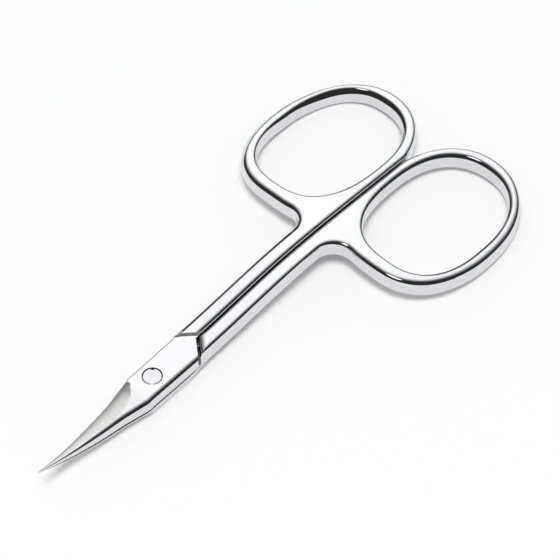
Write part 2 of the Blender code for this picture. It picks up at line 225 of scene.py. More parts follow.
# Worked out from the sizes above
SHANK_INNER = PARTING_GAP / 2
SHANK_OUTER = SHANK_INNER + SHANK_WIDTH
HOLE_CENTRE_Y = SHANK_INNER + BAND_CLOSING + HOLE_WIDTH / 2
BOW_NEAR_X = HOLE_CENTRE_X + HOLE_LENGTH / 2 + BAND_NEAR
BOW_FAR_X = HOLE_CENTRE_X - HOLE_LENGTH / 2 - BAND_FAR
BOW_TOP_Y = HOLE_CENTRE_Y + HOLE_WIDTH / 2 + BAND_OUTER
BOW_LOW_Y = SHANK_INNER - CLOSING_FLAT
UPPER_FACE = SPLIT_HEIGHT + JOINT_PLAY / 2
LOWER_FACE = SPLIT_HEIGHT - JOINT_PLAY / 2
CLEAR_ABOVE = JOINT_HEIGHT + HANDLE_THICKNESS + OVERCUT

# Steels: colour, range of roughness, grain in features per metre before its stretch along X, Y and Z, and
# how deep the grain cuts. Stain is the share by which the colour varies
STEELS = {
    "polished": dict(colour=(0.75, 0.75, 0.76), roughness=(0.05, 0.10), grain=900.0,
                     stretch=(0.25, 1.0, 1.0), depth=0.0002 * MM),
    "ground": dict(colour=(0.74, 0.735, 0.73), roughness=(0.24, 0.36), grain=2600.0,
                   stretch=(3.0, 0.25, 0.25), depth=0.0008 * MM),
    # The mating steel's dark colour is painted shade: it darkens the plates' touching faces in the narrow
    # gap between the halves
    "mating": dict(colour=(0.16, 0.16, 0.16), roughness=(0.30, 0.42), grain=2200.0,
                   stretch=(3.0, 0.3, 0.3), depth=0.003 * MM),
    "cut": dict(colour=(0.50, 0.50, 0.50), roughness=(0.40, 0.55), grain=2600.0,
                stretch=(1.0, 1.0, 0.3), depth=0.003 * MM, stain=0.1, metallic=0.5),
    # The inner steel's darker colour is painted shade on the upper shank's side that faces the lower shank
    # across the parting gap
    "inner": dict(colour=(0.36, 0.36, 0.365), roughness=(0.16, 0.26), grain=2200.0,
                  stretch=(0.3, 1.0, 1.0), depth=0.001 * MM),
    "screw": dict(colour=(0.70, 0.70, 0.71), roughness=(0.12, 0.24), grain=1800.0,
                  stretch=(1.0, 3.0, 1.0), depth=0.002 * MM),
}
HALF_STEELS = ("polished", "ground", "mating", "cut", "inner")
STAIN = 0.04
GRAIN_DETAIL = 4.0
CLOUD_SCALE = 120.0
CLOUD_DETAIL = 3.0
CLOUD_HAZE = (0.85, 1.15)
NOISE_RANGE = (0.3, 0.7)

# How squarely a face has to look up, down or sideways to be part of a flat, of the ground side or of a wall
FLAT_FACING = 0.9
GROUND_FACING = 0.3
WALL_FACING = 0.6

# Camera, at the photograph's viewing angle
LENS = 141.43
SENSOR = 36.0
CLIP_START = 0.01
CAMERA_TURN = math.radians(132.528)
CAMERA_TILT = math.radians(52.444)
CAMERA_DISTANCE = 367.83 * MM
CAMERA_TARGET = (-30.323 * MM, -0.164 * MM, 0.0)

# Studio: a white world and a floor, and a soft lamp almost overhead
WORLD_COLOUR = (1.0, 1.0, 1.0, 1.0)
WORLD_STRENGTH = 0.42
FLOOR_HALF = 1.2
FLOOR_SEGMENTS = 8
FLOOR_COLOUR = (0.93, 0.93, 0.935, 1.0)
FLOOR_ROUGHNESS = 0.9
FLOOR_GLOW = 0.05
SOFTBOX_TILT = math.radians(99)
SOFTBOX_DISTANCE = 1.8
SOFTBOX_SIZE = 0.8
SOFTBOX_POWER = 20.5

# Dome that the steel reflects: bright on the side away from the camera, darker towards the table over the
# heights in HORIZON_DARK, in degrees, and with one small bright spot for the glints
DOME_RADIUS = 1.0
DOME_SEGMENTS = (64, 48)
DOME_DARK = 0.03
DOME_BRIGHT = 1.36
DOME_LIGHT_TILT = math.radians(45)
DOME_LIGHT_FROM = 0.2
DOME_LIGHT_POWER = 2.5
HORIZON_DARK = (2.0, 30.0)
GLINT_TURN = math.radians(145)
GLINT_TILT = math.radians(56)
GLINT_ANGLE = (math.radians(12), math.radians(7))
GLINT_BRIGHT = 2.5


def smooth_step(value):
    value = min(max(value, 0.0), 1.0)
    return value * value * (3 - 2 * value)


def bisect(function, low, high):
    """The place between low and high where a rising function passes zero."""
    for _ in range(HALVINGS):
        middle = (low + high) / 2
        if function(middle) < 0:
            low = middle
        else:
            high = middle
    return (low + high) / 2


def finished_mesh(name, work):
    mesh = bpy.data.meshes.new(name)
    work.to_mesh(mesh)
    work.free()
    return mesh


def mesh_object(name, mesh):
    item = bpy.data.objects.new(name, mesh)
    bpy.context.scene.collection.objects.link(item)
    return item


# Plan of the handle, drawn for the lower half; the upper half is its mirror image across Y
def oval_point(left, right, low, high, squareness, tilt, angle):
    """A point on the egg-shaped oval of the given size, at a polar angle from its centre."""
    centre = Vector(((left + right) / 2, (low + high) / 2))
    turn = angle - tilt
    near, far = squareness
    power = (near + far) / 2 + (near - far) / 2 * math.cos(turn)
    along = abs(math.cos(turn) / ((right - left) / 2)) ** power
    across = abs(math.sin(turn) / ((high - low) / 2)) ** power
    radius = (along + across) ** (-1 / power)
    return centre + radius * Vector((math.cos(angle), math.sin(angle)))


def blended(values, angle):
    """A value at an angle round a bow, from its values every 45 degrees."""
    total = 0.0
    for index, value in enumerate(values):
        away = (angle - index * math.pi / 4 + math.pi) % (2 * math.pi) - math.pi
        if abs(away) < math.pi / 4:
            total += value * math.cos(2 * away) ** 2
    return total


def hole_point(angle, side):
    left = HOLE_CENTRE_X - HOLE_LENGTH / 2
    low = HOLE_CENTRE_Y - HOLE_WIDTH / 2
    plain = oval_point(left, left + HOLE_LENGTH, low, low + HOLE_WIDTH,
                       HOLE_SQUARENESS, HOLE_TILT, angle)
    return plain + blended(HOLE_SWELL[side], angle) * MM * Vector((math.cos(angle), math.sin(angle)))


def bow_point(angle, side):
    plain = oval_point(BOW_FAR_X, BOW_NEAR_X, BOW_LOW_Y, BOW_TOP_Y, BOW_SQUARENESS, BOW_TILT, angle)
    return plain + blended(OUTER_SWELL[side], angle) * MM * Vector((math.cos(angle), math.sin(angle)))


def fillet_centre(angle, side):
    """Centre of a fillet circle that touches the bow's outside at the given angle."""
    small = math.radians(0.1)
    along = bow_point(angle + small, side) - bow_point(angle - small, side)
    outward = Vector((along.y, -along.x)).normalized()
    return bow_point(angle, side) + WEB_FILLET[side] * outward


def straight(start, end, step):
    """Points from start towards end, a step apart, without the end itself."""
    count = max(1, round((end - start).length / step))
    return [start.lerp(end, index / count) for index in range(count)]


def handle_outline(side, hole):
    """Outline in plan, as (point, rounding) pairs in order round it, beside the given hole.

    A rounding is its radius, and the length and the slope in degrees of the bevel in it.
    """
    fillet = WEB_FILLET[side]
    inner_round = INNER_ROUND[side]
    at_shank = (SHANK_ROUND[side], *SHANK_BEVEL[side])
    at_inner = (inner_round, *NO_BEVEL)
    touch = bisect(lambda angle: fillet_centre(angle, side).y - SHANK_OUTER - fillet, *FILLET_RANGE)
    leave = 2 * math.pi - bisect(lambda angle: bow_point(-angle, side).y - SHANK_INNER, *CLOSING_RANGE)
    centre = fillet_centre(touch, side)
    spoke = bow_point(touch, side) - centre
    first = math.atan2(spoke.y, spoke.x) % (2 * math.pi)
    last = math.radians(270)
    inner = Vector((SHANK_FRONT_X, SHANK_INNER))
    outer = Vector((SHANK_FRONT_X, SHANK_OUTER))
    foot = centre + fillet * Vector((math.cos(last), math.sin(last)))
    points = [(inner, at_inner)]
    points += [(point, at_shank) for point in straight(outer, foot, STRAIGHT_STEP)]
    at_bow = (BOW_ROUND, blended(OUTER_BEVEL[side], touch) * MM, blended(OUTER_SLOPE[side], touch))
    for step in range(FILLET_STEPS):
        share = step / FILLET_STEPS
        angle = last + (first - last) * share
        grown = smooth_step(share)
        rounding = tuple(start + (end - start) * grown for start, end in zip(at_shank, at_bow))
        points.append((centre + fillet * Vector((math.cos(angle), math.sin(angle))), rounding))
    count = round(OVAL_STEPS * (leave - touch) / (2 * math.pi))
    for step in range(count + 1):
        share = step / count
        angle = touch + (leave - touch) * share
        closing = smooth_step((share - CLOSING_FROM) / (1 - CLOSING_FROM))
        bevel = blended(OUTER_BEVEL[side], angle) * MM * (1 - closing)
        slope = blended(OUTER_SLOPE[side], angle)
        point = bow_point(angle, side)
        taken = [(point - edge).length - radius - length * math.sin(math.radians(way))
                 for edge, (radius, length, way) in hole]
        room = min(taken) - BAND_FLAT - bevel * math.sin(math.radians(slope))
        radius = BOW_ROUND + (inner_round - BOW_ROUND) * closing
        points.append((point, (min(radius, room), bevel, slope)))
    end = points[-1][0]
    points += [(point, at_inner) for point in straight(end, inner, STRAIGHT_STEP)[1:]]
    return points


def hole_outline(side):
    """The hole's edge, clockwise, as (point, rounding) pairs."""
    points = []
    least, most = HOLE_ROUND[side]
    offset, spread = HOLE_ROUND_SPREAD
    for step in range(OVAL_STEPS):
        angle = -2 * math.pi * step / OVAL_STEPS
        share = smooth_step((math.cos(angle - HOLE_ROUND_WIDEST[side]) + offset) / spread)
        rounding = (least + (most - least) * share, blended(HOLE_BEVEL[side], angle) * MM,
                    blended(HOLE_SLOPE[side], angle))
        points.append((hole_point(angle, side), rounding))
    return points


def underside(x, y=0.0):
    """Height of the handle's underside above the resting surface."""
    if x > ARCH_CREST_X:
        share = smooth_step((SHANK_FRONT_X - x) / (SHANK_FRONT_X - ARCH_CREST_X))
        height = SHANK_LIFT + (ARCH_HEIGHT - SHANK_LIFT) * share
    else:
        share = smooth_step((ARCH_CREST_X - x) / (ARCH_CREST_X - FAR_X))
        height = ARCH_HEIGHT + (FAR_LIFT - ARCH_HEIGHT) * share
    return height - BOW_SLOPE * max(0.0, y - SHANK_OUTER)


def inward_ways(points):
    """Mitred direction into the material at each point of a loop that has the material on its left."""
    ways = []
    for index, point in enumerate(points):
        before = (point - points[index - 1]).normalized()
        after = (points[(index + 1) % len(points)] - point).normalized()
        first = Vector((-before.y, before.x))
        second = Vector((-after.y, after.x))
        ways.append((first + second) / (1 + first.dot(second)))
    return ways


def wall_profile(radius, bevel, slope):
    """(inset, height) pairs up a wall with rounded edges, from the bottom face to the top face."""
    low = min(BOTTOM_ROUND, radius)
    profile = []
    for step in range(ROUND_STEPS + 1):
        angle = math.pi / 2 * step / ROUND_STEPS
        profile.append((low * (1 - math.sin(angle)), low * (1 - math.cos(angle))))
    slope = math.radians(slope)
    for step in range(BEVEL_STEPS + 1):
        angle = slope * step / BEVEL_STEPS
        height = HANDLE_THICKNESS - bevel * math.cos(slope) - radius * (1 - math.sin(angle))
        profile.append((radius * (1 - math.cos(angle)), height))
    for step in range(BEVEL_STEPS + 1):
        angle = slope + (math.pi / 2 - slope) * step / BEVEL_STEPS
        inset = bevel * math.sin(slope) + radius * (1 - math.cos(angle))
        profile.append((inset, HANDLE_THICKNESS - radius * (1 - math.sin(angle))))
    return profile


def inside(point, loop):
    """Whether a point lies within a closed loop in plan."""
    hit = False
    for start, end in zip(loop, loop[1:] + loop[:1]):
        if (start.y > point.y) != (end.y > point.y):
            if point.x < start.x + (point.y - start.y) / (end.y - start.y) * (end.x - start.x):
                hit = not hit
    return hit


def face_points(outer, hole):
    """Points of a regular grid that lie on the flat face, clear of its edges."""
    points = []
    column = 0
    x = BOW_FAR_X
    while x < SHANK_FRONT_X:
        y = BOW_LOW_Y - (column % 2) * GRID_STEP / 2
        while y < BOW_TOP_Y:
            spot = Vector((x, y))
            if inside(spot, outer) and not inside(spot, hole):
                nearest = min((spot - edge).length for edge in outer + hole)
                if nearest > GRID_STEP * GRID_CLEARANCE:
                    points.append(spot)
            y += GRID_STEP
        x += GRID_STEP * math.sqrt(3) / 2
        column += 1
    return points


def add_face(work, outer_ring, hole_ring, upwards):
    """Fills the flat face between an outer ring of mesh vertices and a hole's."""
    outer = [vertex.co.xy for vertex in outer_ring]
    hole = [vertex.co.xy for vertex in hole_ring]
    extra = face_points(outer, hole)
    rings = outer_ring + hole_ring
    count = len(outer)
    edges = [(index, (index + 1) % count) for index in range(count)]
    edges += [(count + index, count + (index + 1) % len(hole)) for index in range(len(hole))]
    places, _, faces, origins, _, _ = delaunay_2d_cdt(outer + hole + extra, edges, [], 1, TOLERANCE)
    height = rings[0].co.z
    vertices = []
    for place, origin in zip(places, origins):
        known = [index for index in origin if index < len(rings)]
        vertices.append(rings[known[0]] if known else work.verts.new((place.x, place.y, height)))
    for face in faces:
        middle = sum((places[index] for index in face), Vector((0.0, 0.0))) / len(face)
        if inside(middle, hole):
            continue
        corners = [vertices[index] for index in face]
        work.faces.new(corners if upwards else reversed(corners))


def handle_mesh(name, side):
    """Bow and shank of one half, arched: side is 1 for the lower half, -1 for its mirror image."""
    work = bmesh.new()
    caps = []
    hole = hole_outline(side)
    for outline in (handle_outline(side, hole), hole):
        points = [point for point, _ in outline]
        rows = []
        for (point, rounding), way in zip(outline, inward_ways(points)):
            profile = wall_profile(*rounding)
            rows.append([work.verts.new((*(point + way * inset), height)) for inset, height in profile])
        for row, following in zip(rows, rows[1:] + rows[:1]):
            for index in range(len(row) - 1):
                work.faces.new((row[index], row[index + 1], following[index + 1], following[index]))
        caps.append(([row[0] for row in rows], [row[-1] for row in rows]))
    add_face(work, caps[0][0], caps[1][0], False)
    add_face(work, caps[0][1], caps[1][1], True)
    for vertex in work.verts:
        vertex.co.z += underside(vertex.co.x, vertex.co.y)
    bmesh.ops.recalc_face_normals(work, faces=work.faces)
    mesh = finished_mesh(name, work)
    if side < 0:
        mesh.transform(Matrix.Diagonal((1, -1, 1, 1)))
        mesh.flip_normals()
    return mesh


def blade_values(x):
    """Cutting side, spine side, thickness, edge thickness and ground width of the upper half at x."""
    plate = JOINT_HEIGHT - UPPER_FACE
    if x <= HEEL_X:
        cut = JOINT_WIDTH / 2 - PLATE_SHIFT * smooth_step((x - APEX_X) / (HEEL_X - APEX_X))
        return cut, JOINT_WIDTH / 2 + PLATE_SHIFT, plate, plate - PLATE_CHAMFER, PLATE_EDGE_WIDTH
    share = max(0.0, (x - HEEL_X - HEEL_RUN) / (BLADE_REACH - HEEL_X - HEEL_RUN))
    shares = [row[0] for row in BLADE_STATIONS]
    index = max(i for i, start in enumerate(shares[:-1]) if start <= share + TOLERANCE)
    rows = [BLADE_STATIONS[min(max(index + step, 0), len(shares) - 1)] for step in (-1, 0, 1, 2)]
    span = rows[2][0] - rows[1][0]
    place = (share - rows[1][0]) / span
    values = []
    for column in range(1, len(rows[0])):
        before, start, end, after = (row[column] for row in rows)
        slope_start = (end - before) / (rows[2][0] - rows[0][0]) * span
        slope_end = (after - start) / (rows[3][0] - rows[1][0]) * span
        values.append((2 * place ** 3 - 3 * place ** 2 + 1) * start
                      + (place ** 3 - 2 * place ** 2 + place) * slope_start
                      + (3 * place ** 2 - 2 * place ** 3) * end
                      + (place ** 3 - place ** 2) * slope_end)
    cut, spine, thick, edge, ground = values
    grown = heel_share(x)
    ground = PLATE_EDGE_WIDTH + (ground - PLATE_EDGE_WIDTH) * grown
    return cut, spine, thick * plate, edge * plate, ground


def heel_share(x):
    """How far the ground side of the blade has grown from the shoulder at its heel, rising from 0 to 1."""
    share = min(1.0, max(0.0, (x - HEEL_X) / HEEL_CURVE))
    return math.sqrt(1 - (1 - share) ** 2)


def ground_profile(x, cut, thick, edge, ground):
    """(y, height) pairs from the ridge down the ground side of a blade, or round the edge of a plate."""
    if x <= HEEL_X:
        points = []
        for step in range(GROUND_STEPS + 1):
            angle = math.pi / 2 * step / GROUND_STEPS
            fall = (thick - edge) * (1 - math.cos(angle))
            points.append((-cut + ground * (1 - math.sin(angle)), thick - fall))
        return points
    fade = math.exp(-(x - HEEL_X) / GROUND_FADE)
    at_ridge = GROUND_RIDGE_SLOPE + (GROUND_HEEL_RIDGE_SLOPE - GROUND_RIDGE_SLOPE) * fade
    at_edge = GROUND_EDGE_SLOPE + (GROUND_HEEL_EDGE_SLOPE - GROUND_EDGE_SLOPE) * fade
    drop = ground * (2 * at_ridge + at_edge) / 3
    inset = max(0.0, min(EDGE_SLANT * (thick - drop - edge), EDGE_SLANT_MOST * ground)) * heel_share(x)
    width = ground - inset
    points = []
    for step in range(GROUND_STEPS + 1):
        run = width * step / GROUND_STEPS
        fall = at_ridge * run + (at_edge - at_ridge) * run ** 3 / (3 * width ** 2)
        points.append((-cut + ground - run, thick - fall))
    return points


def rise(x):
    """How far the blades have curved up at x."""
    share = max(0.0, (x - HEEL_X) / (BLADE_REACH - HEEL_X))
    return TIP_RISE * share ** RISE_POWER


def blade_section(x, upper):
    """One cross-section of a plate or blade, as (x, y, z) points in order round it."""
    cut, spine, thick, edge, ground = blade_values(x)
    face = UPPER_FACE if upper else LOWER_FACE
    if not upper:
        plate = JOINT_HEIGHT - UPPER_FACE
        inset = min(EDGE_INSET, (cut + spine) / EDGE_INSET_LIMIT)
        cut, spine = spine - inset, cut - inset
        thick *= LOWER_FACE / plate
        edge *= LOWER_FACE / plate
    if not upper and x < PLATE_FLAT_REAR_X:
        share = min(1.0, (PLATE_FLAT_REAR_X - x) / (PLATE_FLAT_REAR_X - APEX_X))
        thick -= share * (SHANK_LIFT + EMBED)
        edge = thick - PLATE_CHAMFER
        cut += share * (SHANK_OUTER - EMBED - cut)
    radius = min(SPINE_ROUND, thick / SPINE_ROUND_LIMITS[0], (cut + spine) / SPINE_ROUND_LIMITS[1])
    small = min(FACE_ROUND, thick / FACE_ROUND_LIMITS[0], (cut + spine) / FACE_ROUND_LIMITS[1])
    profile = []
    for step in range(FACE_STEPS + 1):
        angle = math.pi / 2 * step / FACE_STEPS
        profile.append((spine - small * (1 - math.sin(angle)), small * (1 - math.cos(angle))))
    for step in range(ROUND_STEPS + 1):
        angle = math.pi / 2 * step / ROUND_STEPS
        profile.append((spine - radius * (1 - math.cos(angle)), thick - radius * (1 - math.sin(angle))))
    ground_side = ground_profile(x, cut, thick, edge, ground)
    ground_side += [(-cut, small), (-cut + small, 0.0)]
    way = 1 if upper else -1
    return [(x, way * y, face + rise(x) + way * z) for y, z in profile + ground_side]


def blade_mesh(name, upper):
    """Plate and blade of one half, lofted from behind the joint to the tip."""
    stations = [APEX_X - OVERCUT, APEX_X, PLATE_FLAT_REAR_X, 0.0, HEEL_X]
    stations += [HEEL_X + HEEL_CURVE * share for share in HEEL_STATIONS]
    start = HEEL_X + HEEL_CURVE * EVEN_FROM
    count = math.ceil((BLADE_REACH - start) / BLADE_STEP)
    stations += [start + (BLADE_REACH - start) * step / count for step in range(count + 1)]
    work = bmesh.new()
    rings = [[work.verts.new(point) for point in blade_section(x, upper)] for x in stations]
    for ring, following in zip(rings, rings[1:]):
        for index in range(len(ring)):
            after = (index + 1) % len(ring)
            work.faces.new((ring[index], ring[after], following[after], following[index]))
    work.faces.new(reversed(rings[0]))
    work.faces.new(rings[-1])
    return finished_mesh(name, work)


# Cutters, removed once the booleans are applied, and the pieces made with them
def prism(name, corners, low, high):
    """A vertical prism over a polygon in plan, from height low to height high."""
    work = bmesh.new()
    base = [work.verts.new((*corner, low)) for corner in corners]
    top = [work.verts.new((*corner, high)) for corner in corners]
    work.faces.new(reversed(base))
    work.faces.new(top)
    for index in range(len(base)):
        after = (index + 1) % len(base)
        work.faces.new((base[index], base[after], top[after], top[index]))
    bmesh.ops.recalc_face_normals(work, faces=work.faces)
    return finished_mesh(name, work)


def side_prism(name, corners, low_y, high_y):
    """A prism whose corners are (x, z) pairs, between two Y values."""
    mesh = prism(name, corners, -high_y, -low_y)
    mesh.transform(Matrix.Rotation(math.pi / 2, 4, "X"))
    return mesh


def turned_mesh(name, profile, steps):
    """A solid turned about Z: profile is (radius, height) from the top centre to the bottom centre."""
    work = bmesh.new()
    rings = []
    for radius, height in profile:
        if radius == 0.0:
            rings.append([work.verts.new((0.0, 0.0, height))])
            continue
        turns = [2 * math.pi * step / steps for step in range(steps)]
        rings.append([work.verts.new((radius * math.cos(t), radius * math.sin(t), height)) for t in turns])
    for ring, following in zip(rings, rings[1:]):
        for step in range(steps):
            after = (step + 1) % steps
            corners = [ring[step % len(ring)], following[step % len(following)],
                       following[after % len(following)], ring[after % len(ring)]]
            work.faces.new(list(dict.fromkeys(corners)))
    bmesh.ops.recalc_face_normals(work, faces=work.faces)
    return finished_mesh(name, work)


def combine(item, mesh, operation):
    """Joins or cuts a piece with a mesh, at once."""
    other = mesh_object(f"{item.name}_{operation.lower()}", mesh)
    modifier = item.modifiers.new("shape", "BOOLEAN")
    modifier.operation = operation
    modifier.solver = "EXACT"
    modifier.object = other
    bpy.context.view_layer.update()
    graph = bpy.context.evaluated_depsgraph_get()
    made = bpy.data.meshes.new_from_object(item.evaluated_get(graph))
    item.modifiers.clear()
    item.data = made
    bpy.data.objects.remove(other)


def rear_edge_corners(side, setback):
    """A point on a plate's slanting rear edge and the way that it runs, to the given side of Y."""
    along = Vector((math.cos(REAR_EDGE_ANGLE), side * math.sin(REAR_EDGE_ANGLE)))
    behind = Vector((-along.y, along.x)) * side
    corner = Vector((APEX_X, -side * SHANK_INNER)) + behind * setback
    return corner, along


def rounded_corner(start, foot, length, height):
    """(x, z) corners of a cutter that leaves a rounded corner, falling from start over the given length."""
    corners = []
    for step in range(SHOULDER_STEPS + 1):
        angle = math.pi / 2 * step / SHOULDER_STEPS
        corners.append((start + length * math.sin(angle), foot + height * math.cos(angle)))
    far = start + length + OVERCUT
    return corners + [(far, foot), (far, foot + height + OVERCUT), (start, foot + height + OVERCUT)]


def cut_joint(half, blade, side):
    """Lap the two halves: side is 1 for the lower half, whose shank lies at +Y, and -1 for the upper."""
    reach = JOINT_WIDTH + OVERCUT
    upper = side < 0

    corner, along = rear_edge_corners(-side, 0.0)
    end = corner + along * reach
    hidden = side * (SHANK_INNER + EMBED)
    start = corner + along * ((hidden - corner.y) / along.y)
    back = APEX_X - 2 * OVERCUT
    low, high = (LOWER_FACE, CLEAR_ABOVE) if upper else (-OVERCUT, UPPER_FACE)
    combine(blade, prism("rear_edge", [start, end, (back, end.y), (back, hidden)], low, high), "DIFFERENCE")

    corner, along = rear_edge_corners(side, SHOULDER_GAP)
    near = corner - along * OVERCUT
    far = corner + along * reach
    ahead = OVERCUT
    low, high = (-OVERCUT, UPPER_FACE + EMBED) if upper else (LOWER_FACE - EMBED, CLEAR_ABOVE)
    combine(half, prism("shoulder", [near, far, (ahead, far.y), (ahead, near.y)], low, high), "DIFFERENCE")

    if upper:
        slope = (underside(RAMP_TOP_X) - SPLIT_HEIGHT) / (RAMP_FOOT_X - RAMP_TOP_X)
        start = RAMP_TOP_X - OVERCUT
        beyond = SPLIT_HEIGHT + slope * (RAMP_FOOT_X - start)
        corners = [(RAMP_FOOT_X, SPLIT_HEIGHT), (start, beyond), (RAMP_FOOT_X, beyond)]
        combine(half, side_prism("ramp", corners, -reach, reach), "DIFFERENCE")
        return
    top = underside(corner.x) + HANDLE_THICKNESS
    length, height = SHOULDER_ROUND
    corners = rounded_corner(-length, top - height, length, height)
    edge = side_prism("shoulder_edge", corners, -reach, reach)
    turn = math.atan2(along.y, along.x) - math.pi / 2
    edge.transform(Matrix.Translation((corner.x, corner.y, 0)) @ Matrix.Rotation(turn, 4, "Z"))
    combine(half, edge, "DIFFERENCE")


def cut_step(half):
    """The upper shank steps down to the flat face of its plate along a sloping crescent."""
    foot = JOINT_HEIGHT - EMBED
    climb = underside(APEX_X) + HANDLE_THICKNESS - foot
    mouth = STEP_RADIUS + STEP_RUN * CLEAR_ABOVE / climb
    profile = [(0.0, foot + CLEAR_ABOVE), (mouth, foot + CLEAR_ABOVE), (STEP_RADIUS, foot), (0.0, foot)]
    step = turned_mesh("step", profile, 2 * TURNED_STEPS)
    step.transform(Matrix.Translation((*STEP_CENTRE, 0)))
    combine(half, step, "DIFFERENCE")


def seat_mesh(gap, bore_radius, low, high):
    """Cutter for the screw: a plain bore, with the countersink on top where a gap is given."""
    profile = [(0.0, high), (bore_radius, high), (bore_radius, low), (0.0, low)]
    if gap is not None:
        rim = HEAD_RADIUS + gap
        cone_top = JOINT_HEIGHT - HEAD_BELOW_FACE - HEAD_RIM
        cone_end = cone_top - (rim - bore_radius)
        profile = [(0.0, high), (rim, high), (rim, cone_top), (bore_radius, cone_end),
                   (bore_radius, low), (0.0, low)]
    return turned_mesh("seat", profile, TURNED_STEPS)


def make_half(name, side):
    half = mesh_object(name, handle_mesh(name, side))
    upper = side < 0
    blade = mesh_object(f"{name}_blade", blade_mesh(f"{name}_blade", upper))
    cut_joint(half, blade, side)
    if upper:
        cut_step(half)
    joined = blade.data
    bpy.data.objects.remove(blade)
    combine(half, joined, "UNION")
    if upper:
        seat = seat_mesh(SEAT_CLEARANCE, SCREW_RADIUS + BORE_CLEARANCE, 0.0, CLEAR_ABOVE)
    else:
        seat = seat_mesh(None, SCREW_RADIUS + THREAD_CLEARANCE, -OVERCUT, JOINT_HEIGHT)
    combine(half, seat, "DIFFERENCE")
    return half


def make_screw():
    top = JOINT_HEIGHT - HEAD_BELOW_FACE
    cone_top = top - HEAD_RIM
    cone_end = cone_top - (HEAD_RADIUS - SCREW_RADIUS)
    profile = [(0.0, top), (HEAD_RADIUS - HEAD_BREAK, top), (HEAD_RADIUS, top - HEAD_BREAK),
               (HEAD_RADIUS, cone_top), (SCREW_RADIUS, cone_end),
               (SCREW_RADIUS, HEAD_BREAK), (SCREW_RADIUS - HEAD_BREAK, 0.0), (0.0, 0.0)]
    screw = mesh_object("screw", turned_mesh("screw", profile, TURNED_STEPS))
    reach = HEAD_RADIUS + OVERCUT
    half = SLOT_WIDTH / 2
    slot = prism("slot", [(-reach, -half), (reach, -half), (reach, half), (-reach, half)],
                 top - SLOT_DEPTH, top + OVERCUT)
    slot.transform(Matrix.Rotation(SLOT_ANGLE, 4, "Z"))
    combine(screw, slot, "DIFFERENCE")
    return screw


def shade(item):
    """Smooth shading with crisp edges, and normals that follow the larger faces."""
    work = bmesh.new()
    work.from_mesh(item.data)
    bmesh.ops.remove_doubles(work, verts=work.verts, dist=WELD)
    bmesh.ops.dissolve_degenerate(work, edges=work.edges, dist=WELD)
    work.to_mesh(item.data)
    work.free()
    item.data.shade_smooth()
    item.data.set_sharp_from_angle(angle=CREASE)
    weighted = item.modifiers.new("normals", "WEIGHTED_NORMAL")
    weighted.keep_sharp = True


def finish_faces(half, side):
    """Gives each face of a half one of its steels, by where it lies and which way it looks."""
    for face in half.data.polygons:
        x, y, z = face.center
        finish = "polished"
        if x > HEEL_X:
            cut, spine, _, _, ground = blade_values(x)
            ridge = -(spine if side > 0 else cut) + ground
            if -side * y < ridge and -side * face.normal.z > GROUND_FACING:
                finish = "ground"
        elif side < 0 and z > JOINT_HEIGHT + EMBED and face.normal.z < FLAT_FACING:
            away = (Vector((x, y)) - Vector(STEP_CENTRE)).length
            if STEP_RADIUS - EMBED < away < STEP_RADIUS + 2 * STEP_RUN:
                finish = "cut"
        # The upper shank's side that faces the lower shank across the parting gap takes the inner steel,
        # whose darker colour is painted shade
        if side < 0 and x < APEX_X and face.normal.y > WALL_FACING and abs(y) < 2 * SHANK_INNER:
            finish = "inner"
        # The plates' touching faces behind the blades take the mating steel, whose dark colour is painted
        # shade between the halves
        if x > APEX_X - JOINT_WIDTH and side * face.normal.z > FLAT_FACING:
            mating = LOWER_FACE if side > 0 else UPPER_FACE
            if abs(z - mating - rise(x)) < EMBED:
                finish = "mating" if x < PLATE_FLAT_REAR_X else "ground"
        face.material_index = HALF_STEELS.index(finish)


# Materials
def node(tree, kind, **settings):
    made = tree.nodes.new(kind)
    for key, value in settings.items():
        setattr(made, key, value)
    return made


def worked_out(tree, kind, operation, values, output="Value"):
    """The named output of a math node of the given kind, on other outputs and constants."""
    made = node(tree, kind, operation=operation)
    for socket, value in zip(made.inputs, values):
        if isinstance(value, bpy.types.NodeSocket):
            tree.links.new(value, socket)
        else:
            socket.default_value = value
    return made.outputs[output]


def calculated(tree, operation, *values):
    return worked_out(tree, "ShaderNodeMath", operation, values)


def dot(tree, first, second):
    return worked_out(tree, "ShaderNodeVectorMath", "DOT_PRODUCT", (first, second))


def ranged(tree, value, low, high, start=NOISE_RANGE[0], end=NOISE_RANGE[1], ease="LINEAR"):
    """Value from start to end, spread over low to high."""
    spread = node(tree, "ShaderNodeMapRange", interpolation_type=ease)
    tree.links.new(value, spread.inputs["Value"])
    for name, limit in (("From Min", start), ("From Max", end), ("To Min", low), ("To Max", high)):
        spread.inputs[name].default_value = limit
    return spread.outputs["Result"]


def mapped_noise(tree, stretch, scale, detail):
    """Noise in the object's own place, stretched along its axes; scale is in features per metre."""
    place = node(tree, "ShaderNodeTexCoord")
    mapping = node(tree, "ShaderNodeMapping")
    mapping.inputs["Scale"].default_value = stretch
    tree.links.new(place.outputs["Object"], mapping.inputs["Vector"])
    noise = node(tree, "ShaderNodeTexNoise")
    noise.inputs["Scale"].default_value = scale
    noise.inputs["Detail"].default_value = detail
    tree.links.new(mapping.outputs["Vector"], noise.inputs["Vector"])
    return noise.outputs["Fac"]


def new_material(name):
    material = bpy.data.materials.new(name)
    material.use_nodes = True
    return material, material.node_tree


